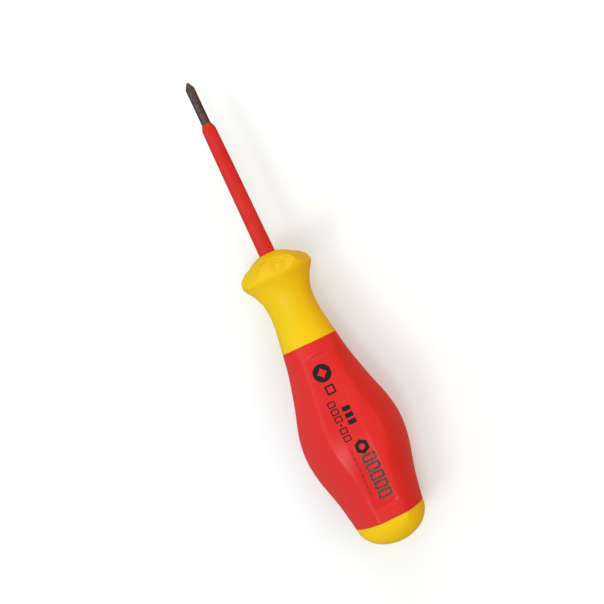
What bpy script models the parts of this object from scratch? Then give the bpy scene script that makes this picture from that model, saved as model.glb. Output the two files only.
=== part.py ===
"""Insulated cross-tip screwdriver, lying along X with its tip towards +X.

Sizes are in millimetres and MM turns them into metres. A station is a distance behind
the handle's front face, so the blade in front of the handle has negative stations.
An angle of 0 points straight up, to the middle of the side that carries the label.
"""

import math

import bmesh
import bpy

MM = 0.001

# Overall lengths
BLADE_REACH = 60.0
HANDLE_LENGTH = 99.5
FRONT_X = (HANDLE_LENGTH - BLADE_REACH) / 2.0

# Blade
SHANK_RADIUS = 1.5
TIP_FLAT_RADIUS = 0.4
TIP_CONE_ANGLE = 28.0
BLADE_HIDDEN_LENGTH = 72.0
BLADE_END_CHAMFER = 0.4
FLUTE_COUNT = 4
FLUTE_HALF_ANGLE = 46.0
FLUTE_START_DEPTH = 0.28
FLUTE_SLOPE = 7.0
FLUTE_STRAIGHT = 2.2
FLUTE_CUTTER_RADIUS = 2.4
FLUTE_REACH = 3.0
FLUTE_STEP = 0.45
FLUTE_STEPS = 10
WING_MIDDLES = (44.0, 60.0)
WING_HALF_LENGTH = 5.0
WING_FLAT_SHARE = 0.4
WING_STEPS = 5
WING_HALF_WIDTH = 2.3
WING_HALF_THICKNESS = 1.1

# Insulation on the blade
SLEEVE_FRONT = -45.3
SLEEVE_CHAMFER = 2.0
SLEEVE_EDGE_RADIUS = 1.7
SLEEVE_FRONT_RADIUS = 2.28
SLEEVE_REAR_RADIUS = 2.68
SLEEVE_END = 12.0

# Nose guard
DOME_RADIUS = 12.3
RIDGE_STATION = 2.35
GUARD_CURVE = (
    (RIDGE_STATION, 7.65),
    (3.0, 9.2),
    (3.65, 10.5),
    (4.3, 11.2),
    (5.2, 11.6),
    (6.8, 11.82),
    (7.7, 11.7),
    (8.7, 11.14),
    (10.0, 10.2),
    (11.9, 9.2),
    (14.4, 8.25),
    (17.0, 7.85),
    (19.5, 7.75),
    (23.3, 8.0),
    (26.5, 8.5),
    (31.2, 9.25),
)
CHAMFER_TURN = math.radians(-5.5)
CHAMFER_STATION = 1.9
CHAMFER_END = 8.7
CHAMFER_APOTHEM = 7.05
CHAMFER_SLOPE = 1.14
CHAMFER_CROWN = 0.057
CHAMFER_BLEND = 0.25
GUARD_SKIRT_RADIUS = 8.3
GUARD_SKIRT_END = 38.0

# Grip
GRIP_CURVE = (
    (31.2, 9.25),
    (38.5, 10.55),
    (48.0, 13.0),
    (57.0, 15.7),
    (64.5, 16.6),
    (72.0, 15.75),
    (82.0, 13.2),
    (90.9, 11.6),
)
SIDE_COUNT = 6
SIDE_APOTHEM = 0.935
SIDE_CROWN = 2.17
CORNER_BLEND = 0.042
FLATS_START = 30.0
FLATS_FULL = 44.0
FLATS_FADE = 91.0
FLATS_GONE = 97.5

# Butt cap
CAP_FLAT_RADIUS = 3.0
CAP_SKIRT_RADIUS = 9.7
CAP_SKIRT_START = 86.5

# Label recess in the top side of the grip
LABEL_START = 35.5
LABEL_END = 87.1
LABEL_HALF_WIDTH = 3.9
LABEL_DEPTH = 0.25
LABEL_CUT_HEIGHT = 1.5
LABEL_STEPS_ALONG = 16
LABEL_STEPS_ACROSS = 4

# Hidden core: straight stretches of station and radius, with a locking groove near its end
CORE_CURVE = (
    (3.0, 6.0),
    (31.0, 6.0),
    (38.5, 6.3),
    (48.0, 8.6),
    (64.0, 11.0),
    (80.0, 8.6),
    (86.0, 7.4),
    (89.5, 7.4),
    (90.3, 6.7),
    (92.3, 6.7),
    (93.1, 7.4),
    (95.0, 7.4),
)
KEY_DEPTH = 0.05

# Clearances between neighbours, and how finely round things are divided
JOINT_GAP = 0.05
INNER_GAP = 0.1
BLADE_SIDES = 24
HANDLE_SIDES = 48
DOME_STEPS = 4
GUARD_STEPS = 2
GRIP_STEPS = 3
CAP_STEPS = 8
SMOOTH_ANGLE = math.radians(32)

# Colour, roughness and metallic value
STEEL = ((0.115, 0.090, 0.078), 0.38, 1.0)
SLEEVE_RED = ((0.62, 0.040, 0.025), 0.42, 0.0)
GRIP_RED = ((0.72, 0.030, 0.028), 0.55, 0.0)
YELLOW = ((0.88, 0.55, 0.010), 0.38, 0.0)
CORE_GREY = ((0.20, 0.20, 0.21), 0.50, 0.0)


def clear_scene():
    """Remove every object that is in the file."""
    for obj in list(bpy.data.objects):
        bpy.data.objects.remove(obj, do_unlink=True)


def smooth_step(value, start, end):
    """Go from 0 at the start to 1 at the end, flat at both."""
    share = min(max((value - start) / (end - start), 0.0), 1.0)
    return share * share * (3.0 - 2.0 * share)


def smooth_min(first, second, width):
    """The smaller of two values, with the corner between them rounded off."""
    overlap = max(width - abs(first - second), 0.0) / width
    return min(first, second) - overlap * overlap * width / 4.0


def smooth_curve(points, steps):
    """A curve that runs smoothly through all the points, with some steps between each two."""
    padded = [points[0], *points, points[-1]]
    curve = []
    for before, start, end, after in zip(padded, padded[1:], padded[2:], padded[3:]):
        for step in range(steps):
            curve.append(curve_point(before, start, end, after, step / steps))
    curve.append(points[-1])
    return curve


def curve_point(before, start, end, after, share):
    """One point of the smooth curve between start and end."""
    square = share * share
    cube = square * share
    return tuple(
        0.5
        * (
            2.0 * b
            + (c - a) * share
            + (2.0 * a - 5.0 * b + 4.0 * c - d) * square
            + (3.0 * b - a - 3.0 * c + d) * cube
        )
        for a, b, c, d in zip(before, start, end, after)
    )


def crowned_side(angle):
    """Distance to one slightly crowned side of a hexagon, at an angle from its middle."""
    centre = SIDE_CROWN - SIDE_APOTHEM
    across = centre * math.sin(angle)
    return math.sqrt(SIDE_CROWN**2 - across**2) - centre * math.cos(angle)


def side_angle(angle):
    """The angle from the middle of the nearest side, without its sign."""
    turn = 2.0 * math.pi / SIDE_COUNT
    return abs((angle + turn / 2.0) % turn - turn / 2.0)


def soft_hexagon(angle):
    """Radius of a soft-cornered hexagon whose corners are about 1 from its middle."""
    near = side_angle(angle)
    turn = 2.0 * math.pi / SIDE_COUNT
    return smooth_min(crowned_side(near), crowned_side(turn - near), CORNER_BLEND)


def flats_share(station):
    """How much of the handle's section is a hexagon at a station. The rest is a circle."""
    rise = smooth_step(station, FLATS_START, FLATS_FULL)
    fade = smooth_step(station, FLATS_FADE, FLATS_GONE)
    return rise * (1.0 - fade)


def round_section(station, radius, angle):
    """A plain round section."""
    return radius


def grip_section(station, radius, angle):
    """The handle's section, between a circle and a soft hexagon."""
    share = flats_share(station)
    return radius * (1.0 + share * (soft_hexagon(angle) - 1.0))


def guard_section(station, radius, angle):
    """The guard's section: round, cut back by six slightly crowned chamfers on its front."""
    past = min(station, CHAMFER_END) - CHAMFER_STATION
    apothem = CHAMFER_APOTHEM + CHAMFER_SLOPE * past - CHAMFER_CROWN * past**2
    chamfer = apothem / math.cos(side_angle(angle - CHAMFER_TURN))
    return smooth_min(radius, chamfer, CHAMFER_BLEND)


def key_section(station, radius, angle):
    """A lobed section, so that pieces moulded on the core can't turn on it."""
    return radius * (1.0 + KEY_DEPTH * math.cos(SIDE_COUNT * angle))


def wing_section(station, radius, angle):
    """The hidden shank's section, pressed flat where it has its wings."""
    distance = min(abs(station - middle) for middle in WING_MIDDLES)
    share = 1.0 - smooth_step(distance, WING_HALF_LENGTH * WING_FLAT_SHARE, WING_HALF_LENGTH)
    if share == 0.0:
        return radius
    gap = radius - SHANK_RADIUS
    wide = math.sin(angle) / (WING_HALF_WIDTH + gap)
    thin = math.cos(angle) / (WING_HALF_THICKNESS + gap)
    return radius + share * (1.0 / math.hypot(wide, thin) - radius)


AXIS_HEIGHT = max(radius for station, radius in GRIP_CURVE) * soft_hexagon(0.0)


def place(station, radius, angle):
    """A point in metres from its station, its distance from the axis and its angle."""
    across = radius * math.sin(angle)
    height = AXIS_HEIGHT + radius * math.cos(angle)
    return ((FRONT_X - station) * MM, across * MM, height * MM)


def rings(curve, section):
    """Give every point of a curve the section that it is drawn with."""
    return [(station, radius, section) for station, radius in curve]


def add_ring(mesh, ring, sides):
    """Add one loop of points around the axis."""
    station, radius, section = ring
    loop = []
    for side in range(sides):
        angle = 2.0 * math.pi * side / sides
        point = place(station, section(station, radius, angle), angle)
        loop.append(mesh.verts.new(point))
    return loop


def join_loops(mesh, first, second):
    """Fill the band between two loops with four-sided faces."""
    count = len(first)
    for i in range(count):
        j = (i + 1) % count
        mesh.faces.new((first[i], first[j], second[j], second[i]))


def loft(name, ring_list, sides, look, hollow=False):
    """Make one closed body through a list of rings. A hollow one joins its last ring to its first."""
    mesh = bmesh.new()
    loops = [add_ring(mesh, ring, sides) for ring in ring_list]
    for first, second in zip(loops, loops[1:]):
        join_loops(mesh, first, second)
    if hollow:
        join_loops(mesh, loops[-1], loops[0])
    else:
        mesh.faces.new(loops[0])
        mesh.faces.new(loops[-1])
    return finish_mesh(name, mesh, look)


def finish_mesh(name, mesh, look):
    """Turn the working mesh into a smooth-shaded object with its own material."""
    bmesh.ops.recalc_face_normals(mesh, faces=mesh.faces)
    data = bpy.data.meshes.new(name)
    mesh.to_mesh(data)
    mesh.free()
    data.shade_smooth()
    data.set_sharp_from_angle(angle=SMOOTH_ANGLE)
    obj = bpy.data.objects.new(name, data)
    bpy.context.collection.objects.link(obj)
    if look:
        data.materials.append(make_material(name, look))
    return obj


def make_material(name, look):
    """A Principled material from a colour, a roughness and a metallic value."""
    colour, roughness, metallic = look
    material = bpy.data.materials.new(name)
    material.use_nodes = True
    shader = material.node_tree.nodes["Principled BSDF"]
    shader.inputs["Base Color"].default_value = (*colour, 1.0)
    shader.inputs["Roughness"].default_value = roughness
    shader.inputs["Metallic"].default_value = metallic
    material.diffuse_color = (*colour, 1.0)
    return material


def wing_curve(gap, end):
    """Stations and radii along the hidden part of the shank, close together at the wings."""
    curve = []
    for middle in WING_MIDDLES:
        for step in range(-WING_STEPS, WING_STEPS + 1):
            station = middle + WING_HALF_LENGTH * step / WING_STEPS
            curve.append((station, SHANK_RADIUS + gap))
    curve.append((end, SHANK_RADIUS + gap))
    return curve


def flute_depth(behind_tip):
    """Distance from the axis to the bottom of a flute, which ends in the cutter's round."""
    straight = FLUTE_START_DEPTH + behind_tip * math.tan(math.radians(FLUTE_SLOPE))
    past = max(behind_tip - FLUTE_STRAIGHT, 0.0)
    rise = FLUTE_CUTTER_RADIUS - math.sqrt(FLUTE_CUTTER_RADIUS**2 - past**2)
    return straight + rise


def add_flute(mesh, middle_angle):
    """Add one V-shaped cutter that leaves a flute between two edges of the tip."""
    spread = math.radians(FLUTE_HALF_ANGLE)
    loops = []
    for step in range(-1, FLUTE_STEPS + 1):
        behind_tip = FLUTE_STEP * step
        depth = flute_depth(max(behind_tip, 0.0))
        far_across = FLUTE_REACH * math.sin(spread)
        far_out = depth + FLUTE_REACH * math.cos(spread)
        far_radius = math.hypot(far_across, far_out)
        far_angle = math.atan2(far_across, far_out)
        station = behind_tip - BLADE_REACH
        corners = (
            place(station, depth, middle_angle),
            place(station, far_radius, middle_angle + far_angle),
            place(station, far_radius, middle_angle - far_angle),
        )
        loops.append([mesh.verts.new(point) for point in corners])
    for first, second in zip(loops, loops[1:]):
        join_loops(mesh, first, second)
    mesh.faces.new(loops[0])
    mesh.faces.new(loops[-1])


def cut_flutes(blade):
    """Cut the flutes of the cross tip out of the blade."""
    mesh = bmesh.new()
    for flute in range(FLUTE_COUNT):
        add_flute(mesh, math.pi * (2 * flute + 1) / FLUTE_COUNT)
    cut_away(blade, finish_mesh("flute_cutter", mesh, None))


def cut_away(body, cutter):
    """Take the cutter's shape out of a body and leave the cutter as a wire outline."""
    cutter.hide_render = True
    cutter.display_type = "WIRE"
    cut = body.modifiers.new(cutter.name, "BOOLEAN")
    cut.operation = "DIFFERENCE"
    cut.solver = "EXACT"
    cut.object = cutter


def make_blade():
    """The steel bar: fluted cone tip, round shank and two pairs of pressed wings."""
    cone_length = (SHANK_RADIUS - TIP_FLAT_RADIUS) / math.tan(math.radians(TIP_CONE_ANGLE))
    curve = [
        (-BLADE_REACH, TIP_FLAT_RADIUS),
        (cone_length - BLADE_REACH, SHANK_RADIUS),
        (SLEEVE_FRONT, SHANK_RADIUS),
        *wing_curve(0.0, BLADE_HIDDEN_LENGTH - BLADE_END_CHAMFER),
        (BLADE_HIDDEN_LENGTH, SHANK_RADIUS - BLADE_END_CHAMFER),
    ]
    blade = loft("blade", rings(curve, wing_section), BLADE_SIDES, STEEL)
    cut_flutes(blade)


def make_blade_sleeve():
    """The red insulation: a thin tube, chamfered in front, that runs on into the handle."""
    bore = SHANK_RADIUS + JOINT_GAP
    curve = (
        (SLEEVE_FRONT, SLEEVE_EDGE_RADIUS),
        (SLEEVE_FRONT + SLEEVE_CHAMFER, SLEEVE_FRONT_RADIUS),
        (0.0, SLEEVE_REAR_RADIUS),
        (SLEEVE_END, SLEEVE_REAR_RADIUS),
        (SLEEVE_END, bore),
        (SLEEVE_FRONT, bore),
    )
    loft("blade_sleeve", rings(curve, round_section), BLADE_SIDES, SLEEVE_RED, hollow=True)


def make_handle_core():
    """The hidden core: keyed outside, with a blind bore shaped to the sleeve and the wings."""
    front = CORE_CURVE[0][0]
    seat = SLEEVE_END + INNER_GAP
    bore_end = BLADE_HIDDEN_LENGTH + INNER_GAP
    outside = rings(reversed(CORE_CURVE), key_section)
    bore = [
        (front, SLEEVE_REAR_RADIUS + JOINT_GAP),
        (seat, SLEEVE_REAR_RADIUS + JOINT_GAP),
        (seat, SHANK_RADIUS + JOINT_GAP),
        *wing_curve(JOINT_GAP, bore_end),
    ]
    ring_list = outside + rings(bore, wing_section)
    loft("handle_core", ring_list, HANDLE_SIDES, CORE_GREY)


def core_bore(start, end):
    """The stretch of the core between two stations, with clearance, from rear to front."""
    curve = [(end, core_radius(end))]
    inside = [point for point in CORE_CURVE if start < point[0] < end]
    curve.extend(reversed(inside))
    curve.append((start, core_radius(start)))
    return [(station, radius + INNER_GAP) for station, radius in curve]


def core_radius(station):
    """The core's mean radius at a station."""
    for (start, first), (end, second) in zip(CORE_CURVE, CORE_CURVE[1:]):
        if start <= station <= end:
            return first + (second - first) * (station - start) / (end - start)
    return CORE_CURVE[-1][1]


def dome_curve():
    """The guard's round front face, from the hole for the blade out to the ridge."""
    hole = SLEEVE_REAR_RADIUS + JOINT_GAP
    ridge = GUARD_CURVE[0][1]
    top = math.sqrt(DOME_RADIUS**2 - hole**2)
    curve = []
    for step in range(DOME_STEPS):
        radius = hole + (ridge - hole) * step / DOME_STEPS
        curve.append((top - math.sqrt(DOME_RADIUS**2 - radius**2), radius))
    return curve


def make_nose_guard():
    """The yellow front: domed face, six-sided finger stop, neck, and a skirt under the grip."""
    front_wall = CORE_CURVE[0][0] - INNER_GAP
    hole = SLEEVE_REAR_RADIUS + JOINT_GAP
    end = GUARD_CURVE[-1][0]
    skirt = ((end, GUARD_SKIRT_RADIUS), (GUARD_SKIRT_END, GUARD_SKIRT_RADIUS))
    ring_list = rings(dome_curve() + smooth_curve(GUARD_CURVE, GUARD_STEPS), guard_section)
    ring_list += rings(skirt, round_section)
    ring_list += rings(core_bore(front_wall, GUARD_SKIRT_END), key_section)
    ring_list += rings(((front_wall, hole),), round_section)
    loft("nose_guard", ring_list, HANDLE_SIDES, YELLOW, hollow=True)


def make_grip_sleeve():
    """The red soft grip, hollowed for the core and for the skirts of guard and cap."""
    start = GRIP_CURVE[0][0] + JOINT_GAP
    end = GRIP_CURVE[-1][0]
    guard_seat = GUARD_SKIRT_END + INNER_GAP
    cap_seat = CAP_SKIRT_START - INNER_GAP
    cap_radius = CAP_SKIRT_RADIUS + INNER_GAP
    guard_radius = GUARD_SKIRT_RADIUS + INNER_GAP
    outside = smooth_curve(GRIP_CURVE, GRIP_STEPS)
    outside[0] = (start, outside[0][1])
    ring_list = rings(outside, grip_section)
    ring_list += rings(((end, cap_radius), (cap_seat, cap_radius)), round_section)
    ring_list += rings(core_bore(guard_seat, cap_seat), key_section)
    ring_list += rings(((guard_seat, guard_radius), (start, guard_radius)), round_section)
    grip = loft("grip_sleeve", ring_list, HANDLE_SIDES, GRIP_RED, hollow=True)
    cut_label(grip)


def grip_radius(station):
    """The grip's corner radius at a station, read off its smooth curve."""
    curve = smooth_curve(GRIP_CURVE, GRIP_STEPS)
    for (start, first), (end, second) in zip(curve, curve[1:]):
        if start <= station <= end:
            return first + (second - first) * (station - start) / (end - start)
    return curve[-1][1]


def label_point(station, across, rise):
    """A point above or below the grip's top side, at a distance across it."""
    radius = grip_radius(station)
    angle = math.asin(across / radius)
    height = grip_section(station, radius, angle) * math.cos(angle)
    return place(station, math.hypot(across, height + rise), math.atan2(across, height + rise))


def label_loop(mesh, station):
    """One loop of the label's cutter: its floor under the side's face, its top above it."""
    steps = range(-LABEL_STEPS_ACROSS, LABEL_STEPS_ACROSS + 1)
    across = [LABEL_HALF_WIDTH * step / LABEL_STEPS_ACROSS for step in steps]
    floor = [label_point(station, value, -LABEL_DEPTH) for value in across]
    top = [label_point(station, value, LABEL_CUT_HEIGHT) for value in reversed(across)]
    return [mesh.verts.new(point) for point in floor + top]


def cut_label(grip):
    """Sink the shallow label recess into the grip's top side."""
    mesh = bmesh.new()
    loops = []
    for step in range(LABEL_STEPS_ALONG + 1):
        station = LABEL_START + (LABEL_END - LABEL_START) * step / LABEL_STEPS_ALONG
        loops.append(label_loop(mesh, station))
    for first, second in zip(loops, loops[1:]):
        join_loops(mesh, first, second)
    mesh.faces.new(loops[0])
    mesh.faces.new(loops[-1])
    cut_away(grip, finish_mesh("label_cutter", mesh, None))


def cap_curve():
    """The cap's outside: part of an ellipse that ends in a small flat."""
    start, rim = GRIP_CURVE[-1]
    length = (HANDLE_LENGTH - start) / math.sqrt(1.0 - (CAP_FLAT_RADIUS / rim) ** 2)
    last = math.asin((HANDLE_LENGTH - start) / length)
    curve = []
    for step in range(CAP_STEPS + 1):
        angle = last * step / CAP_STEPS
        curve.append((start + length * math.sin(angle), rim * math.cos(angle)))
    curve[0] = (start + JOINT_GAP, rim)
    return curve


def make_butt_cap():
    """The yellow rear end: a cup over the core's end, with a skirt under the grip."""
    start = GRIP_CURVE[-1][0] + JOINT_GAP
    floor = CORE_CURVE[-1][0] + INNER_GAP
    skirt = ((start, CAP_SKIRT_RADIUS), (CAP_SKIRT_START, CAP_SKIRT_RADIUS))
    ring_list = rings(reversed(cap_curve()), grip_section)
    ring_list += rings(skirt, round_section)
    ring_list += rings(reversed(core_bore(CAP_SKIRT_START, floor)), key_section)
    loft("butt_cap", ring_list, HANDLE_SIDES, YELLOW)


def main():
    """Build the screwdriver."""
    clear_scene()
    make_blade()
    make_blade_sleeve()
    make_handle_core()
    make_nose_guard()
    make_grip_sleeve()
    make_butt_cap()


main()
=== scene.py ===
"""Looks of the insulated screwdriver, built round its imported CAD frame.

Sizes are in millimetres and MM turns them into metres. A station is a distance behind
the handle's front face, so the blade in front of the handle has negative stations.
An angle of 0 points straight up, to the middle of the side that carries the label.
"""

import math

import bmesh
import bpy
from mathutils import Matrix, Vector


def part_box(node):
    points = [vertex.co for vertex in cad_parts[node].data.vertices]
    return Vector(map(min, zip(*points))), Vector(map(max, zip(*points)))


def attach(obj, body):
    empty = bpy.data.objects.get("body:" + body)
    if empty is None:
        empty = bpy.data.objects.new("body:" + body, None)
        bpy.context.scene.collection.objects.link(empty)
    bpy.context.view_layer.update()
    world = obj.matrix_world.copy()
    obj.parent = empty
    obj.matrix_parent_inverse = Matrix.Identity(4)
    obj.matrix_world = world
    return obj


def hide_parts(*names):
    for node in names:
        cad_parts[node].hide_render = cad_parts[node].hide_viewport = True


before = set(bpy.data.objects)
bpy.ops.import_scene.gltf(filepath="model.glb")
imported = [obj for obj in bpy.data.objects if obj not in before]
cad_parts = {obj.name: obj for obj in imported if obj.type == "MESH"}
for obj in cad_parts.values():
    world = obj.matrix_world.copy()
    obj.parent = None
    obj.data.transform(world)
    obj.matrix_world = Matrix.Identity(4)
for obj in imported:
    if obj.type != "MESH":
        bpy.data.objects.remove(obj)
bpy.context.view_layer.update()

MM = 0.001
BODY = "root"
ROUND_COUNT = 96
SHARP_ANGLE = math.radians(40.0)

# Places that the frame gives, in millimetres
TIP_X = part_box("blade")[1][0] / MM
BUTT_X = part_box("butt_cap")[0][0] / MM
FRONT_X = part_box("nose_guard")[1][0] / MM
AXIS_HEIGHT = (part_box("blade_sleeve")[0][2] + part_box("blade_sleeve")[1][2]) / (2.0 * MM)
BLADE_REACH = TIP_X - FRONT_X
HANDLE_LENGTH = FRONT_X - BUTT_X

# Blade
SHANK_RADIUS = 1.5
TIP_FLAT_RADIUS = 0.4
TIP_CONE_LENGTH = 2.07
BLADE_HIDDEN_LENGTH = 72.0
BLADE_END_CHAMFER = 0.4
BLADE_SHARP_ANGLE = math.radians(30.0)
FLUTE_COUNT = 4
FLUTE_HALF_ANGLE = 46.0
FLUTE_START_DEPTH = 0.28
FLUTE_SLOPE = 7.0
FLUTE_STRAIGHT = 2.2
FLUTE_CUTTER_RADIUS = 2.4
FLUTE_REACH = 3.0
FLUTE_LENGTH = 4.55
FLUTE_STEPS = 30
SLIVER_SIZE = 0.002

# Insulation on the blade
SLEEVE_FRONT = -45.5
SLEEVE_CHAMFER = 2.0
SLEEVE_EDGE_RADIUS = 1.62
SLEEVE_FRONT_RADIUS = 2.28
SLEEVE_REAR_RADIUS = 2.68
SLEEVE_END = 12.0
SLEEVE_SPACING = 0.5
SLIDE_GAP = 0.02

# Station and radius of points along the outside of the insulation
SLEEVE_CURVE = (
    (SLEEVE_FRONT, SLEEVE_EDGE_RADIUS - 0.04),
    (SLEEVE_FRONT + 0.08, SLEEVE_EDGE_RADIUS + 0.03),
    (SLEEVE_FRONT + 0.5, SLEEVE_EDGE_RADIUS + 0.18),
    (SLEEVE_FRONT + 1.2, SLEEVE_FRONT_RADIUS - 0.19),
    (SLEEVE_FRONT + SLEEVE_CHAMFER, SLEEVE_FRONT_RADIUS - 0.02),
    (SLEEVE_FRONT + SLEEVE_CHAMFER + 1.5, SLEEVE_FRONT_RADIUS + 0.02),
    (-30.0, SLEEVE_FRONT_RADIUS + 0.18),
    (-12.0, SLEEVE_REAR_RADIUS - 0.12),
    (0.0, SLEEVE_REAR_RADIUS),
    (SLEEVE_END, SLEEVE_REAR_RADIUS),
)

# Nose guard
DOME_RADIUS = 12.3
DOME_STEPS = 24
HOLE_RADIUS = SLEEVE_REAR_RADIUS + SLIDE_GAP
HOLE_BEVEL = 0.15
HOLE_BEVEL_DEPTH = 0.35
RIDGE_STATION = 2.35
GUARD_CURVE = (
    (RIDGE_STATION, 7.65),
    (3.0, 9.2),
    (3.65, 10.5),
    (4.3, 11.2),
    (5.2, 11.6),
    (6.8, 11.82),
    (7.7, 11.7),
    (8.7, 11.14),
    (10.0, 10.2),
    (11.9, 9.2),
    (14.4, 8.25),
    (17.0, 7.85),
    (19.5, 7.75),
    (23.3, 8.0),
    (26.5, 8.5),
    (31.2, 9.25),
)
FLANGE_POINTS = 9
FLANGE_SPACING = 0.09
NECK_SPACING = 0.3
GUARD_WALL = 2.9
GUARD_BORE_RADIUS = 6.7
GUARD_SKIRT_RADIUS = 8.3
GUARD_SKIRT_END = 38.0
CHAMFER_TURN = math.radians(-5.5)
CHAMFER_STATION = 1.9
CHAMFER_END = 8.7
CHAMFER_APOTHEM = 7.05
CHAMFER_SLOPE = 1.14
CHAMFER_CROWN = 0.057
CHAMFER_BLEND = 0.25
MARK_STATION = 5.0
MARK_ACROSS = -1.07
MARK_RINGS = ((2.2, 0.17), (1.4, 0.15))
MARK_RING_DEPTH = 0.18
MARK_DOT_HEIGHT = 0.10
MARK_PLATE_DEPTH = 0.04

# Grip and cap
GRIP_CURVE = (
    (31.2, 9.25),
    (38.5, 10.55),
    (48.0, 13.0),
    (57.0, 15.7),
    (64.5, 16.6),
    (72.0, 15.75),
    (82.0, 13.2),
    (90.9, 11.6),
)
GRIP_SPACING = 0.45
GRIP_FINE_SPACING = 0.12
GRIP_FINE_ZONES = ((31.2, 32.0), (34.0, 39.0), (84.0, 88.6), (90.2, 90.9))
GRIP_BORE = (
    (GRIP_CURVE[-1][0], 9.8),
    (86.4, 9.8),
    (86.4, 8.0),
    (64.0, 11.8),
    (38.1, 6.8),
    (38.1, 8.4),
    (GRIP_CURVE[0][0], 8.4),
)
SIDE_COUNT = 6
SIDE_APOTHEM = 0.935
SIDE_CROWN = 2.17
CORNER_BLEND = 0.042
FRONT_CORNER_ANGLE = math.radians(30.0)
REAR_CORNER_ANGLE = math.radians(23.0)
NARROW_START = 62.0
NARROW_END = 76.0
FLATS_START = 30.0
FLATS_FULL = 44.0
FLATS_FADE = 91.0
FLATS_GONE = 97.5
CAP_FLAT_RADIUS = 3.0
CAP_STEPS = 60
CAP_SKIRT_RADIUS = 9.7
CAP_SKIRT_END = 86.5
CAP_BORE_RADIUS = 7.9
CAP_BORE_END = 95.1
EDGE_ROUND = 0.18
EDGE_BEVEL = 0.12
EDGE_BEVEL_LENGTH = 0.10
EDGE_SINK = 0.01
JOINT_GAP = 0.05

# Label recess
LABEL_START = 34.8
LABEL_END = 87.1
LABEL_HALF_WIDTH = 3.9
LABEL_DEPTH = 0.25
LABEL_END_BOW = 0.9
LABEL_END_GROOVE = 0.20
LABEL_LIP = 0.045

# Printing, as stations and distances across the top side
INK_RISE = 0.012
INK_THICKNESS = 0.02
INK_FILL_REACH = 0.97
NAME_BOX_START = 70.3
NAME_BOX_STEP = 3.05
NAME_BOX_COUNT = 5
BAR_START = 53.9
BAR_STEP = 2.15
BAR_COUNT = 3
SIZE_BOX_STATIONS = (51.2, 53.6, 56.0, 59.8, 62.3)
SIZE_DASH_STATION = 57.9
SIZE_ACROSS = 2.65
CODE_ACROSS = -0.95
DASH_START = 67.2
DASH_STEP = 1.9
DASH_COUNT = 8
DASH_ACROSS = 3.3

# Lamps in metres: name, place, size, power, colour
WHITE = (1.0, 1.0, 1.0)
LAMPS = (
    ("key", (-0.35, 0.72, 0.95), 0.4, 3.1, WHITE),
    ("top", (-0.28, 0.30, 1.05), 0.3, 1.7, WHITE),
    ("left", (0.45, 0.90, 0.60), 0.8, 1.5, WHITE),
    ("front", (0.95, -0.15, 0.50), 0.7, 2.9, WHITE),
    ("fill", (-0.05, -0.95, 0.40), 0.9, 2.6, (1.0, 0.42, 0.22)),
)
LAMP_AIM = (-0.02, 0.0, 0.015)
WORLD_BRIGHT_SIDE = (0.0, 0.66, 0.75)
WORLD_WARM = (0.44, 0.28, 0.20, 1.0)
WORLD_PALE = (0.64, 0.64, 0.64, 1.0)
FLOOR_HALF_SIZE = 3.0

# Camera in metres, with heights from the tool's axis
CAMERA_PLACE = (-0.0060, 0.0214, 0.409)
CAMERA_TARGET = (0.00124, -0.00345, 0.0)
CAMERA_TURN = math.radians(-25.23)
CAMERA_LENS = 77.0
SENSOR_WIDTH = 36.0


def smooth_step(value, start, end):
    """Go from 0 at the start to 1 at the end, flat at both."""
    share = min(max((value - start) / (end - start), 0.0), 1.0)
    return share * share * (3.0 - 2.0 * share)


def smooth_min(first, second, width):
    """The smaller of two values, with the corner between them rounded off."""
    overlap = max(width - abs(first - second), 0.0) / width
    return min(first, second) - overlap * overlap * width / 4.0


def hump(value, middle, width):
    """A smooth bump of height 1 at its middle."""
    return math.exp(-(((value - middle) / width) ** 2))


def curve_point(before, start, end, after, share):
    """One point of the smooth curve between start and end."""
    square = share * share
    cube = square * share
    return tuple(
        0.5
        * (
            2.0 * b
            + (c - a) * share
            + (2.0 * a - 5.0 * b + 4.0 * c - d) * square
            + (3.0 * b - a - 3.0 * c + d) * cube
        )
        for a, b, c, d in zip(before, start, end, after)
    )


def smooth_curve(points, spacing):
    """A curve that runs smoothly through all the points, with about that distance between its own."""
    padded = [points[0], *points, points[-1]]
    curve = []
    for before, start, end, after in zip(padded, padded[1:], padded[2:], padded[3:]):
        steps = max(1, round(math.dist(start, end) / spacing))
        for step in range(steps):
            curve.append(curve_point(before, start, end, after, step / steps))
    curve.append(points[-1])
    return curve


def crowned_side(angle):
    """Distance to one slightly crowned side of a hexagon, at an angle from its middle."""
    centre = SIDE_CROWN - SIDE_APOTHEM
    across = centre * math.sin(angle)
    return math.sqrt(SIDE_CROWN**2 - across**2) - centre * math.cos(angle)


def side_angle(angle):
    """The angle from the middle of the nearest side, without its sign."""
    turn = 2.0 * math.pi / SIDE_COUNT
    return abs((angle + turn / 2.0) % turn - turn / 2.0)


def soft_hexagon(angle):
    """Radius of a soft-cornered hexagon whose corners are about 1 from its middle."""
    turn = 2.0 * math.pi / SIDE_COUNT
    near = side_angle(angle)
    return smooth_min(crowned_side(near), crowned_side(turn - near), CORNER_BLEND)


def hexagon_angle(station, angle):
    """The angle on a regular hexagon that an angle on the handle stands for. Towards the rear,
    the top side gets narrower and the sides next to it wider."""
    if math.cos(angle) < 0.0:
        return angle
    narrow = smooth_step(station, NARROW_START, NARROW_END)
    corner = FRONT_CORNER_ANGLE + (REAR_CORNER_ANGLE - FRONT_CORNER_ANGLE) * narrow
    quarter = math.pi / 2.0
    tilt = abs((angle + quarter) % math.pi - quarter)
    if tilt < corner:
        return tilt * FRONT_CORNER_ANGLE / corner
    past = (tilt - corner) / (quarter - corner)
    return FRONT_CORNER_ANGLE + past * (quarter - FRONT_CORNER_ANGLE)


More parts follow.
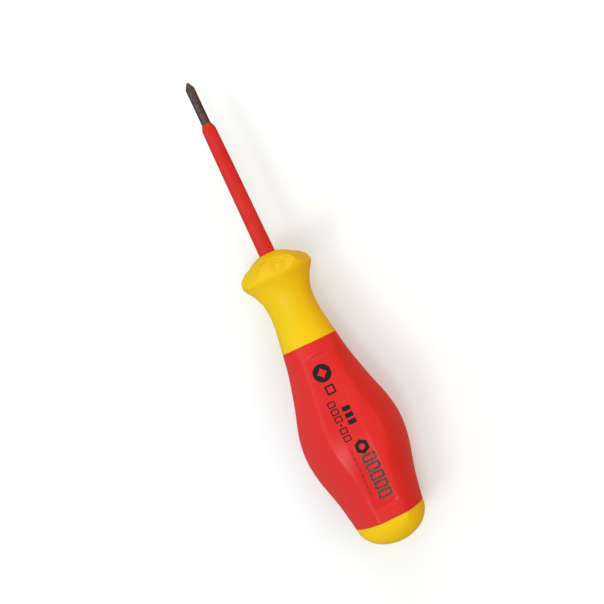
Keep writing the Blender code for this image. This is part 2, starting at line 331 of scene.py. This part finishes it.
def flats_share(station):
    """How much of the handle's section is a hexagon at a station. The rest is a circle."""
    rise = smooth_step(station, FLATS_START, FLATS_FULL)
    fade = smooth_step(station, FLATS_FADE, FLATS_GONE)
    return rise * (1.0 - fade)


def round_section(station, radius, angle):
    """A plain round section."""
    return radius


def handle_section(station, radius, angle):
    """The handle's section, between a circle and a soft hexagon."""
    share = flats_share(station)
    return radius * (1.0 + share * (soft_hexagon(hexagon_angle(station, angle)) - 1.0))


def label_relief(station, across):
    """Height of the label recess's surface over the plain side, below 0 in the recess."""
    wide = abs(across) / LABEL_HALF_WIDTH
    if wide > 1.5:
        return 0.0
    half = (LABEL_END - LABEL_START) / 2.0
    middle = (LABEL_END + LABEL_START) / 2.0
    inside = half - abs(station - middle) - LABEL_END_BOW * wide * wide
    depth = LABEL_DEPTH * (1.0 - 0.75 * min(wide, 1.0) ** 2)
    side = 1.0 - smooth_step(wide, 0.75, 1.05)
    groove = LABEL_END_GROOVE * hump(inside, 0.95, 0.65)
    sunk = smooth_step(inside, -0.1, 0.9) * (depth + groove)
    lip = LABEL_LIP * hump(inside, -0.55, 0.4)
    return side * (lip - sunk)


def grip_section(station, radius, angle):
    """The grip's section, with the label recess sunk into its top side."""
    plain = handle_section(station, radius, angle)
    if math.cos(angle) < 0.9:
        return plain
    return plain + label_relief(station, plain * math.sin(angle))


def mark_relief(station, across):
    """Height of the moulded round mark: two fine engraved rings and a raised dot."""
    distance = math.hypot(station - MARK_STATION, across - MARK_ACROSS)
    engraved = sum(hump(distance, radius, width) for radius, width in MARK_RINGS)
    dot = 1.0 - smooth_step(distance, 0.35, 0.7)
    plate = 1.0 - smooth_step(distance, 2.25, 2.5)
    return MARK_DOT_HEIGHT * dot - MARK_RING_DEPTH * engraved - MARK_PLATE_DEPTH * plate


def guard_section(station, radius, angle):
    """The guard's section: round, cut back by six crowned chamfers on its front, with a mark."""
    past = min(station, CHAMFER_END) - CHAMFER_STATION
    apothem = CHAMFER_APOTHEM + CHAMFER_SLOPE * past - CHAMFER_CROWN * past**2
    chamfer = apothem / math.cos(side_angle(angle - CHAMFER_TURN))
    plain = smooth_min(radius, chamfer, CHAMFER_BLEND)
    if math.cos(angle) < 0.8:
        return plain
    return plain + mark_relief(station, plain * math.sin(angle))


def place(station, radius, angle):
    """A point in metres from its station, its distance from the axis and its angle."""
    across = radius * math.sin(angle)
    height = AXIS_HEIGHT + radius * math.cos(angle)
    return ((FRONT_X - station) * MM, across * MM, height * MM)


def even_angles(count):
    """Angles all the way round, evenly spaced."""
    return [2.0 * math.pi * i / count for i in range(count)]


def fine_angles(count, half_width, fine_count):
    """Angles all the way round, closer together within a half width of the top."""
    fine = [half_width * (2.0 * i / fine_count - 1.0) for i in range(fine_count)]
    rest = 2.0 * math.pi - 2.0 * half_width
    coarse = [half_width + rest * i / count for i in range(count)]
    return fine + coarse


def rings(curve, section):
    """Give every point of a curve the section that it is drawn with."""
    return [(station, radius, section) for station, radius in curve]


def ring_faces(first, second, count):
    """The four-sided faces between two rings, given the number of each ring's first point."""
    faces = []
    for i in range(count):
        j = (i + 1) % count
        faces.append((first + i, first + j, second + j, second + i))
    return faces


def loft(name, ring_list, angles, material, hollow=False):
    """Make one closed body through a list of rings. A hollow one joins its last ring to its first."""
    points = []
    for station, radius, section in ring_list:
        for angle in angles:
            points.append(place(station, section(station, radius, angle), angle))
    count = len(angles)
    last = (len(ring_list) - 1) * count
    faces = []
    for ring in range(len(ring_list) - 1):
        faces += ring_faces(ring * count, (ring + 1) * count, count)
    if hollow:
        faces += ring_faces(last, 0, count)
    else:
        faces.append(tuple(range(count)))
        faces.append(tuple(range(last, last + count)))
    return make_object(name, points, faces, material)


def make_object(name, points, faces, material):
    """Make a smooth-shaded object with its faces turned outwards."""
    data = bpy.data.meshes.new(name)
    data.from_pydata(points, [], faces)
    mesh = bmesh.new()
    mesh.from_mesh(data)
    bmesh.ops.recalc_face_normals(mesh, faces=mesh.faces)
    mesh.to_mesh(data)
    mesh.free()
    data.shade_smooth()
    data.set_sharp_from_angle(angle=SHARP_ANGLE)
    obj = bpy.data.objects.new(name, data)
    bpy.context.collection.objects.link(obj)
    if material:
        data.materials.append(material)
    return obj


class Nodes:
    """A material's node tree with short calls to add to it."""

    def __init__(self, name):
        self.material = bpy.data.materials.new(name)
        self.material.use_nodes = True
        self.tree = self.material.node_tree
        self.shader = self.tree.nodes["Principled BSDF"]
        self.place = self.add("ShaderNodeTexCoord").outputs["Object"]

    def add(self, kind, **values):
        """Add a node, and set its named inputs."""
        node = self.tree.nodes.new(kind)
        for name, value in values.items():
            node.inputs[name.replace("_", " ")].default_value = value
        return node

    def link(self, output, node, name):
        """Join an output to a node's named input."""
        self.tree.links.new(output, node.inputs[name])

    def stretch(self, scale):
        """The object's coordinates, scaled by a different amount each way."""
        node = self.add("ShaderNodeMapping", Scale=scale)
        self.link(self.place, node, "Vector")
        return node.outputs["Vector"]

    def noise(self, scale, detail=3.0, roughness=0.55, vector=None):
        """A noise between 0 and 1."""
        node = self.add("ShaderNodeTexNoise", Scale=scale, Detail=detail, Roughness=roughness)
        self.link(vector or self.place, node, "Vector")
        return node.outputs["Fac"]

    def spread(self, value, low, high, to_low=0.0, to_high=1.0):
        """Stretch a value from one range to another and keep it there."""
        node = self.tree.nodes.new("ShaderNodeMapRange")
        node.inputs["From Min"].default_value = low
        node.inputs["From Max"].default_value = high
        node.inputs["To Min"].default_value = to_low
        node.inputs["To Max"].default_value = to_high
        self.link(value, node, "Value")
        return node.outputs["Result"]

    def mix(self, share, first, second):
        """Blend two colours. Each is an output or a plain colour."""
        node = self.tree.nodes.new("ShaderNodeMix")
        node.data_type = "RGBA"
        self.tree.links.new(share, node.inputs[0])
        for socket, value in ((node.inputs[6], first), (node.inputs[7], second)):
            if isinstance(value, tuple):
                socket.default_value = (*value, 1.0)
            else:
                self.tree.links.new(value, socket)
        return node.outputs[2]

    def multiply(self, first, second):
        """The product of two values."""
        node = self.tree.nodes.new("ShaderNodeMath")
        node.operation = "MULTIPLY"
        self.tree.links.new(first, node.inputs[0])
        self.tree.links.new(second, node.inputs[1])
        return node.outputs["Value"]

    def bump(self, height, strength, distance, under=None):
        """Raise the surface by a height, on top of another bump."""
        node = self.add("ShaderNodeBump", Strength=strength, Distance=distance)
        self.link(height, node, "Height")
        if under:
            self.link(under, node, "Normal")
        return node.outputs["Normal"]

    def finish(self, colour, roughness, normal):
        """Join the colour, the roughness and the bump to the shader."""
        self.link(colour, self.shader, "Base Color")
        self.link(roughness, self.shader, "Roughness")
        self.link(normal, self.shader, "Normal")
        return self.material


def set_subsurface(shader, weight, radius, scale):
    """Let some light spread under the surface."""
    shader.inputs["Subsurface Weight"].default_value = weight
    shader.inputs["Subsurface Radius"].default_value = radius
    shader.inputs["Subsurface Scale"].default_value = scale


def grip_material():
    """Soft red moulded plastic: fine matte grain, faint handling marks, a broad dull gloss."""
    n = Nodes("soft_red")
    clouds = n.noise(70.0, detail=4.0)
    specks = n.noise(1400.0, detail=2.0)
    rubbed = n.spread(n.noise(160.0, detail=5.0, roughness=0.6), 0.5, 0.75)
    base = n.mix(n.spread(clouds, 0.3, 0.7), (0.675, 0.007, 0.006), (0.720, 0.012, 0.010))
    speckled = n.multiply(rubbed, n.spread(specks, 0.55, 0.75, 0.0, 0.35))
    dusty = n.mix(speckled, base, (0.78, 0.06, 0.055))
    roughness = n.spread(clouds, 0.25, 0.75, 0.33, 0.43)
    grain = n.bump(n.noise(3800.0, detail=2.0), 0.35, 0.00003)
    normal = n.bump(n.noise(420.0, detail=3.0), 0.12, 0.00005, under=grain)
    n.shader.inputs["Specular IOR Level"].default_value = 0.42
    set_subsurface(n.shader, 0.12, (1.0, 0.12, 0.08), 0.0015)
    return n.finish(dusty, roughness, normal)


def sleeve_material():
    """Red blade insulation: smoother and glossier than the grip, drawn along the blade."""
    n = Nodes("sleeve_red")
    clouds = n.noise(120.0, detail=4.0)
    drawn = n.noise(900.0, detail=3.0, vector=n.stretch((0.06, 1.0, 1.0)))
    base = n.mix(n.spread(clouds, 0.3, 0.7), (0.590, 0.014, 0.009), (0.640, 0.021, 0.014))
    roughness = n.spread(drawn, 0.3, 0.7, 0.34, 0.46)
    fine = n.bump(n.noise(3000.0, detail=2.0), 0.25, 0.00002)
    normal = n.bump(drawn, 0.15, 0.00004, under=fine)
    n.shader.inputs["Specular IOR Level"].default_value = 0.28
    set_subsurface(n.shader, 0.10, (1.0, 0.15, 0.10), 0.001)
    return n.finish(base, roughness, normal)


def yellow_material(name):
    """Hard yellow plastic: satin, slightly translucent, with faint flow marks and small scuffs."""
    n = Nodes(name)
    clouds = n.noise(60.0, detail=4.0)
    flow = n.noise(150.0, detail=4.0, vector=n.stretch((0.35, 1.0, 1.0)))
    scuffs = n.noise(700.0, detail=5.0, roughness=0.7, vector=n.stretch((1.0, 0.25, 1.0)))
    worn = n.spread(scuffs, 0.64, 0.78)
    base = n.mix(n.spread(clouds, 0.3, 0.7), (0.835, 0.562, 0.001), (0.870, 0.600, 0.002))
    scuffed = n.multiply(worn, n.spread(flow, 0.4, 0.7, 0.0, 0.4))
    marked = n.mix(scuffed, base, (0.82, 0.50, 0.010))
    roughness = n.spread(flow, 0.25, 0.75, 0.34, 0.46)
    grain = n.bump(n.noise(3200.0, detail=2.0), 0.22, 0.00002)
    normal = n.bump(scuffs, 0.06, 0.00004, under=grain)
    n.shader.inputs["Specular IOR Level"].default_value = 0.20
    set_subsurface(n.shader, 0.22, (1.0, 0.42, 0.04), 0.002)
    return n.finish(marked, roughness, normal)


def steel_material():
    """Dark burnished steel: turning marks round the shank, a brown oxide, rubbed bright spots."""
    n = Nodes("burnished_steel")
    turned = n.noise(260.0, detail=4.0, roughness=0.7, vector=n.stretch((14.0, 1.0, 1.0)))
    stains = n.noise(420.0, detail=5.0, roughness=0.65)
    rubbed = n.spread(n.noise(900.0, detail=4.0), 0.55, 0.75, 0.0, 0.6)
    oxide = n.mix(n.spread(stains, 0.35, 0.65), (0.080, 0.062, 0.054), (0.135, 0.110, 0.098))
    colour = n.mix(rubbed, oxide, (0.215, 0.185, 0.170))
    roughness = n.spread(turned, 0.3, 0.7, 0.42, 0.60)
    ridges = n.bump(turned, 0.30, 0.00003)
    normal = n.bump(n.noise(2600.0, detail=2.0), 0.15, 0.00001, under=ridges)
    n.shader.inputs["Metallic"].default_value = 1.0
    n.shader.inputs["Specular Tint"].default_value = (0.05, 0.05, 0.05, 1.0)
    return n.finish(colour, roughness, normal)


def core_material():
    """Hard grey moulding of the hidden core, with coarse flow marks."""
    n = Nodes("core_grey")
    flow = n.noise(200.0, detail=4.0, vector=n.stretch((0.3, 1.0, 1.0)))
    base = n.mix(n.spread(flow, 0.3, 0.7), (0.18, 0.18, 0.19), (0.24, 0.24, 0.25))
    roughness = n.spread(flow, 0.3, 0.7, 0.42, 0.58)
    normal = n.bump(n.noise(2200.0, detail=2.0), 0.2, 0.00003)
    return n.finish(base, roughness, normal)


def ink_material(name, dark, light, worn_low, worn_high):
    """Dark pad-printed ink, mottled, and rubbed through to the red where a noise passes a limit."""
    n = Nodes(name)
    patches = n.noise(900.0, detail=6.0, roughness=0.75)
    wear = n.spread(patches, worn_low, worn_high)
    fresh = n.mix(n.spread(n.noise(1500.0, detail=4.0), 0.35, 0.65), dark, light)
    colour = n.mix(wear, fresh, (0.42, 0.03, 0.028))
    roughness = n.spread(patches, 0.3, 0.7, 0.28, 0.42)
    normal = n.bump(patches, 0.15, 0.00002)
    n.shader.inputs["Specular IOR Level"].default_value = 0.25
    return n.finish(colour, roughness, normal)


def flute_depth(behind_tip):
    """Distance from the axis to the bottom of a flute, which ends in the cutter's round."""
    straight = FLUTE_START_DEPTH + behind_tip * math.tan(math.radians(FLUTE_SLOPE))
    past = max(behind_tip - FLUTE_STRAIGHT, 0.0)
    rise = FLUTE_CUTTER_RADIUS - math.sqrt(FLUTE_CUTTER_RADIUS**2 - past**2)
    return straight + rise


def flute_loop(behind_tip, middle_angle):
    """The three corners of a flute's V-shaped cutter at a distance behind the tip."""
    spread = math.radians(FLUTE_HALF_ANGLE)
    depth = flute_depth(max(behind_tip, 0.0))
    far_across = FLUTE_REACH * math.sin(spread)
    far_out = depth + FLUTE_REACH * math.cos(spread)
    far_radius = math.hypot(far_across, far_out)
    far_angle = math.atan2(far_across, far_out)
    station = behind_tip - BLADE_REACH
    return [
        place(station, depth, middle_angle),
        place(station, far_radius, middle_angle + far_angle),
        place(station, far_radius, middle_angle - far_angle),
    ]


def make_flute_cutter():
    """Four V-shaped bars in one object, which cut the flutes of the cross tip."""
    points = []
    faces = []
    for flute in range(FLUTE_COUNT):
        start = len(points)
        middle_angle = math.pi * (2 * flute + 1) / FLUTE_COUNT
        for step in range(-1, FLUTE_STEPS + 1):
            points += flute_loop(FLUTE_LENGTH * step / FLUTE_STEPS, middle_angle)
        for step in range(FLUTE_STEPS + 1):
            faces += ring_faces(start + 3 * step, start + 3 * step + 3, 3)
        end = len(points)
        faces.append((start, start + 1, start + 2))
        faces.append((end - 3, end - 2, end - 1))
    return make_object("flute_cutter", points, faces, None)


def apply_modifiers(obj):
    """Keep an object's modified mesh and drop its modifiers."""
    depsgraph = bpy.context.evaluated_depsgraph_get()
    obj.data = bpy.data.meshes.new_from_object(obj.evaluated_get(depsgraph))
    obj.modifiers.clear()


def drop_slivers(obj, distance):
    """Merge the points that a cut left almost together, and drop the faces that this flattens."""
    mesh = bmesh.new()
    mesh.from_mesh(obj.data)
    bmesh.ops.remove_doubles(mesh, verts=mesh.verts, dist=distance)
    bmesh.ops.dissolve_degenerate(mesh, edges=mesh.edges, dist=distance)
    mesh.to_mesh(obj.data)
    mesh.free()


def make_blade(material):
    """The steel bar with its cross tip. It stands for the whole CAD blade."""
    tip = -BLADE_REACH
    curve = [
        (tip, TIP_FLAT_RADIUS - 0.05),
        (tip + 0.05, TIP_FLAT_RADIUS + 0.01),
        (tip + TIP_CONE_LENGTH - 0.15, SHANK_RADIUS - 0.07),
        (tip + TIP_CONE_LENGTH, SHANK_RADIUS - 0.02),
        (tip + TIP_CONE_LENGTH + 0.15, SHANK_RADIUS),
        (tip + 3.6, SHANK_RADIUS),
        (tip + 4.6, SHANK_RADIUS - 0.06),
        (tip + 6.5, SHANK_RADIUS - 0.05),
        (SLEEVE_FRONT, SHANK_RADIUS - 0.03),
        (0.0, SHANK_RADIUS),
        (BLADE_HIDDEN_LENGTH - BLADE_END_CHAMFER, SHANK_RADIUS),
        (BLADE_HIDDEN_LENGTH, SHANK_RADIUS - BLADE_END_CHAMFER),
    ]
    round_angles = even_angles(ROUND_COUNT)
    blade = loft("steel_blade", rings(curve, round_section), round_angles, material)
    cutter = make_flute_cutter()
    cut = blade.modifiers.new("flutes", "BOOLEAN")
    cut.operation = "DIFFERENCE"
    cut.solver = "EXACT"
    cut.object = cutter
    apply_modifiers(blade)
    bpy.data.objects.remove(cutter)
    drop_slivers(blade, SLIVER_SIZE * MM)
    blade.data.set_sharp_from_angle(angle=BLADE_SHARP_ANGLE)
    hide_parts("blade")
    return blade


def make_sleeve(material):
    """The red tube on the shank: rounded chamfer in front, slightly thicker towards the handle."""
    bore = SHANK_RADIUS + SLIDE_GAP
    curve = smooth_curve(SLEEVE_CURVE, SLEEVE_SPACING)
    curve += [(SLEEVE_END, bore), (SLEEVE_FRONT, bore)]
    ring_list = rings(curve, round_section)
    sleeve = loft("insulation", ring_list, even_angles(ROUND_COUNT), material, hollow=True)
    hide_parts("blade_sleeve")
    return sleeve


def dome_curve():
    """The guard's round front face, from the hole for the blade out to the ridge."""
    ridge = GUARD_CURVE[0][1]
    top = math.sqrt(DOME_RADIUS**2 - HOLE_RADIUS**2)
    start = HOLE_RADIUS + HOLE_BEVEL
    curve = [(HOLE_BEVEL_DEPTH, HOLE_RADIUS)]
    for step in range(DOME_STEPS):
        radius = start + (ridge - start) * step / DOME_STEPS
        curve.append((top - math.sqrt(DOME_RADIUS**2 - radius**2), radius))
    return curve


def make_guard(material):
    """The yellow front: dome, ridge, six-sided finger stop, neck, and a skirt under the grip."""
    end, rim = GUARD_CURVE[-1]
    flange = GUARD_CURVE[:FLANGE_POINTS]
    flange_end = flange[-1][0]
    front = smooth_curve(flange, FLANGE_SPACING)
    outline = smooth_curve(GUARD_CURVE, NECK_SPACING)
    neck = [point for point in outline if point[0] > flange_end + NECK_SPACING / 2.0]
    neck[-1] = (end - EDGE_BEVEL_LENGTH, rim - EDGE_SINK)
    inside = (
        (end, rim - EDGE_BEVEL),
        (end, GUARD_SKIRT_RADIUS),
        (GUARD_SKIRT_END, GUARD_SKIRT_RADIUS),
        (GUARD_SKIRT_END, GUARD_BORE_RADIUS),
        (GUARD_WALL, GUARD_BORE_RADIUS),
        (GUARD_WALL, HOLE_RADIUS),
    )
    ring_list = rings(dome_curve() + front[:-1], guard_section)
    ring_list += rings(neck, round_section)
    ring_list += rings(inside, round_section)
    angles = fine_angles(count=220, half_width=0.42, fine_count=150)
    guard = loft("guard", ring_list, angles, material, hollow=True)
    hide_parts("nose_guard")
    return guard


def grip_stations():
    """Stations along the grip, closer together at both ends of the label and at both joints."""
    values = [GRIP_CURVE[0][0]]
    end = GRIP_CURVE[-1][0]
    while values[-1] < end:
        here = values[-1]
        fine = any(low - 0.4 <= here < high for low, high in GRIP_FINE_ZONES)
        values.append(min(here + (GRIP_FINE_SPACING if fine else GRIP_SPACING), end))
    return values


def read_curve(curve, station):
    """The radius of a curve at a station."""
    for (start, first), (end, second) in zip(curve, curve[1:]):
        if start <= station <= end:
            return first + (second - first) * (station - start) / (end - start)
    return curve[-1][1]


GRIP_OUTLINE = smooth_curve(GRIP_CURVE, 0.1)


def grip_radius(station):
    """The grip's corner radius at a station, with both end edges rounded over."""
    start = GRIP_CURVE[0][0]
    end = GRIP_CURVE[-1][0]
    from_end = min(station - start, end - station)
    drop = max(EDGE_ROUND - from_end, 0.0)
    rounding = EDGE_ROUND - math.sqrt(EDGE_ROUND**2 - drop**2)
    return read_curve(GRIP_OUTLINE, station) - rounding


def make_grip(material):
    """The soft red grip with its label recess."""
    curve = [(station, grip_radius(station)) for station in grip_stations()]
    ring_list = rings(curve, grip_section) + rings(GRIP_BORE, round_section)
    angles = fine_angles(count=240, half_width=0.36, fine_count=130)
    grip = loft("soft_grip", ring_list, angles, material, hollow=True)
    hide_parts("grip_sleeve")
    return grip


def make_cap(material):
    """The yellow rounded rear end, an ellipse in outline with a small flat."""
    start, rim = GRIP_CURVE[-1]
    length = (HANDLE_LENGTH - start) / math.sqrt(1.0 - (CAP_FLAT_RADIUS / rim) ** 2)
    last = math.asin((HANDLE_LENGTH - start) / length)
    curve = []
    for step in range(1, CAP_STEPS + 1):
        angle = last * step / CAP_STEPS
        curve.append((start + length * math.sin(angle), rim * math.cos(angle)))
    front = start + JOINT_GAP
    edge = [(front, rim - EDGE_BEVEL), (front + EDGE_BEVEL_LENGTH, rim - EDGE_SINK)]
    curve = list(reversed(edge + curve))
    inside = (
        (front, CAP_SKIRT_RADIUS),
        (CAP_SKIRT_END, CAP_SKIRT_RADIUS),
        (CAP_SKIRT_END, CAP_BORE_RADIUS),
        (CAP_BORE_END, CAP_BORE_RADIUS),
    )
    ring_list = rings(curve, handle_section) + rings(inside, round_section)
    cap = loft("rear_cap", ring_list, even_angles(240), material)
    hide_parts("butt_cap")
    return cap


def on_grip(station, across, rise):
    """A point in metres above the grip's top side, at a station and a distance across it."""
    corner = grip_radius(station)
    angle = 0.0
    for _ in range(4):
        radius = grip_section(station, corner, angle)
        angle = math.asin(across / radius)
    return place(station, radius + rise, angle)


def circle_outline(radius):
    """Points of a circle round the middle of a mark."""
    return [(radius * math.cos(a), radius * math.sin(a)) for a in even_angles(ROUND_COUNT)]


def star_outline(reach, hollowness):
    """Points of a four-pointed star with hollow sides, for a cross-tip symbol."""
    points = []
    for a in even_angles(ROUND_COUNT):
        along = math.copysign(abs(math.cos(a)) ** hollowness, math.cos(a))
        across = math.copysign(abs(math.sin(a)) ** hollowness, math.sin(a))
        points.append((reach * along, reach * across))
    return points


def hexagon_outline(apothem):
    """Points of a plain hexagon with a corner along the blade."""
    points = []
    for a in even_angles(ROUND_COUNT):
        radius = apothem / math.cos(side_angle(a + math.pi / SIDE_COUNT))
        points.append((radius * math.cos(a), radius * math.sin(a)))
    return points


def box_outline(half_length, half_width, corner):
    """Points of a rectangle with rounded corners."""
    points = []
    for a in even_angles(ROUND_COUNT):
        along = half_length * math.copysign(abs(math.cos(a)) ** 0.5, math.cos(a))
        across = half_width * math.copysign(abs(math.sin(a)) ** 0.5, math.sin(a))
        points.append((along, across))
    return [pull_in(point, half_length, half_width, corner) for point in points]


def pull_in(point, half_length, half_width, corner):
    """Move a point out or in to the edge of a rounded rectangle, along the line to its middle."""
    low, high = 0.0, 3.0
    for _ in range(30):
        scale = (low + high) / 2.0
        past_length = max(abs(point[0]) * scale - half_length + corner, 0.0)
        past_width = max(abs(point[1]) * scale - half_width + corner, 0.0)
        if math.hypot(past_length, past_width) < corner:
            low = scale
        else:
            high = scale
    return (point[0] * low, point[1] * low)


def print_mark(points, faces, at, outer, inner=None, rings_across=4):
    """Add one printed mark at a place: a band between two outlines, or a filled outline."""
    start = len(points)
    count = len(outer)
    reach = 1.0 if inner else INK_FILL_REACH
    inner = inner or [(0.0, 0.0)] * count
    for ring in range(rings_across + 1):
        share = min(ring / rings_across, reach)
        for near, far in zip(inner, outer):
            along = far[0] + (near[0] - far[0]) * share
            aside = far[1] + (near[1] - far[1]) * share
            points.append(on_grip(at[0] + along, at[1] + aside, INK_RISE))
    for ring in range(rings_across):
        faces += ring_faces(start + ring * count, start + (ring + 1) * count, count)
    if reach < 1.0:
        last = start + rings_across * count
        faces.append(tuple(range(last, last + count)))


def finish_print(name, points, faces, material):
    """Turn printed marks into one thin piece on the grip."""
    obj = make_object(name, points, faces, material)
    for face in obj.data.polygons:
        if face.normal.z < 0.0:
            obj.data.flip_normals()
            break
    thick = obj.modifiers.new("ink", "SOLIDIFY")
    thick.thickness = INK_THICKNESS * MM
    thick.offset = -1.0
    return obj


def make_symbols(ink):
    """The crisp marks: a tip symbol, a box, bars, a row of small boxes with a dash, and a nut."""
    points, faces = [], []
    disc = circle_outline(2.9)
    star = star_outline(1.85, 2.6)
    print_mark(points, faces, (41.2, 0.95), disc, star, rings_across=10)
    big_box = box_outline(1.5, 1.5, 0.4)
    big_hole = box_outline(0.95, 0.95, 0.15)
    print_mark(points, faces, (46.8, 0.8), big_box, big_hole)
    bar = box_outline(0.75, 1.3, 0.3)
    for number in range(BAR_COUNT):
        print_mark(points, faces, (BAR_START + BAR_STEP * number, CODE_ACROSS), bar)
    small_box = box_outline(0.95, 1.2, 0.3)
    small_hole = box_outline(0.6, 0.85, 0.12)
    for station in SIZE_BOX_STATIONS:
        print_mark(points, faces, (station, SIZE_ACROSS), small_box, small_hole, rings_across=2)
    dash = box_outline(0.45, 0.2, 0.15)
    print_mark(points, faces, (SIZE_DASH_STATION, SIZE_ACROSS), dash)
    nut = hexagon_outline(2.05)
    nut_hole = circle_outline(0.95)
    print_mark(points, faces, (66.4, -0.3), nut, nut_hole, rings_across=6)
    return finish_print("print_symbols", points, faces, ink)


def make_name_boxes(ink):
    """A row of worn boxes where a name would stand."""
    points, faces = [], []
    box = box_outline(1.3, 2.3, 0.7)
    hole = box_outline(0.62, 1.6, 0.3)
    for number in range(NAME_BOX_COUNT):
        print_mark(points, faces, (NAME_BOX_START + NAME_BOX_STEP * number, CODE_ACROSS), box, hole)
    return finish_print("print_name_boxes", points, faces, ink)


def make_dashes(ink):
    """A faint row of dashes where a line of small print would stand."""
    points, faces = [], []
    dash = box_outline(0.6, 0.16, 0.12)
    for number in range(DASH_COUNT):
        print_mark(points, faces, (DASH_START + DASH_STEP * number, DASH_ACROSS), dash)
    return finish_print("print_dashes", points, faces, ink)


def make_floor():
    """A plain pale floor under the tool. It isn't part of the object."""
    n = Nodes("pale_floor")
    tone = n.mix(n.noise(3.0), (0.925, 0.950, 0.955), (0.935, 0.960, 0.965))
    n.link(tone, n.shader, "Base Color")
    n.shader.inputs["Roughness"].default_value = 0.9
    n.shader.inputs["Specular IOR Level"].default_value = 0.1
    n.shader.inputs["Emission Color"].default_value = (0.35, 1.0, 1.0, 1.0)
    n.shader.inputs["Emission Strength"].default_value = 0.10
    size = FLOOR_HALF_SIZE
    corners = [(-size, -size, 0.0), (size, -size, 0.0), (size, size, 0.0), (-size, size, 0.0)]
    floor = make_object("floor", corners, [(0, 1, 2, 3)], n.material)
    floor.visible_glossy = False
    floor.visible_diffuse = False


def add_lamp(name, place_at, size, power, colour):
    """Add a soft round lamp that looks at the tool."""
    lamp = bpy.data.lights.new(name, "AREA")
    lamp.shape = "DISK"
    lamp.size = size
    lamp.energy = power
    lamp.color = colour
    obj = bpy.data.objects.new(name, lamp)
    obj.location = place_at
    direction = Vector(LAMP_AIM) - Vector(place_at)
    obj.rotation_euler = direction.to_track_quat("-Z", "Y").to_euler()
    bpy.context.collection.objects.link(obj)


def make_lights():
    """Soft white lamps on the left and in front of the tip, a warm one on the right, a pale world."""
    for lamp in LAMPS:
        add_lamp(*lamp)
    world = bpy.data.worlds.new("studio")
    bpy.context.scene.world = world
    world.use_nodes = True
    tree = world.node_tree
    coords = tree.nodes.new("ShaderNodeTexCoord")
    towards = tree.nodes.new("ShaderNodeVectorMath")
    share = tree.nodes.new("ShaderNodeMapRange")
    blend = tree.nodes.new("ShaderNodeMix")
    towards.operation = "DOT_PRODUCT"
    towards.inputs[1].default_value = WORLD_BRIGHT_SIDE
    blend.data_type = "RGBA"
    blend.inputs[6].default_value = WORLD_WARM
    blend.inputs[7].default_value = WORLD_PALE
    share.inputs["From Min"].default_value = -0.4
    share.inputs["From Max"].default_value = 0.5
    tree.links.new(coords.outputs["Generated"], towards.inputs[0])
    tree.links.new(towards.outputs["Value"], share.inputs["Value"])
    tree.links.new(share.outputs["Result"], blend.inputs[0])
    tree.links.new(blend.outputs[2], tree.nodes["Background"].inputs["Color"])


def make_camera():
    """The camera looks down on the tool, with the tip towards the upper left."""
    camera = bpy.data.cameras.new("camera")
    camera.sensor_width = SENSOR_WIDTH
    camera.lens = CAMERA_LENS
    camera.clip_start = 0.01
    camera.clip_end = 10.0
    obj = bpy.data.objects.new("camera", camera)
    axis = Vector((0.0, 0.0, AXIS_HEIGHT * MM))
    location = axis + Vector(CAMERA_PLACE)
    target = axis + Vector(CAMERA_TARGET)
    back = (location - target).normalized()
    up = Vector((math.cos(CAMERA_TURN), math.sin(CAMERA_TURN), 0.0))
    right = up.cross(back).normalized()
    up = back.cross(right)
    turn = Matrix((right, up, back)).transposed()
    obj.matrix_world = Matrix.Translation(location) @ turn.to_4x4()
    bpy.context.collection.objects.link(obj)
    bpy.context.scene.camera = obj


def main():
    """Build the looks, the floor, the lights and the camera."""
    bpy.context.scene.view_settings.view_transform = "Standard"
    yellow = yellow_material("guard_yellow")
    pieces = [
        make_blade(steel_material()),
        make_sleeve(sleeve_material()),
        make_guard(yellow),
        make_grip(grip_material()),
        make_cap(yellow),
    ]
    ink = ink_material("ink", (0.008, 0.005, 0.005), (0.017, 0.011, 0.010), 0.68, 0.78)
    worn = ink_material("worn_ink", (0.020, 0.018, 0.017), (0.120, 0.110, 0.102), 0.56, 0.70)
    faint = ink_material("faint_ink", (0.030, 0.012, 0.011), (0.060, 0.018, 0.016), 0.38, 0.60)
    pieces += [make_symbols(ink), make_name_boxes(worn), make_dashes(faint)]
    for piece in pieces:
        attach(piece, BODY)
    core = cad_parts["handle_core"]
    core.data.materials.clear()
    core.data.materials.append(core_material())
    make_floor()
    make_lights()
    make_camera()


main()
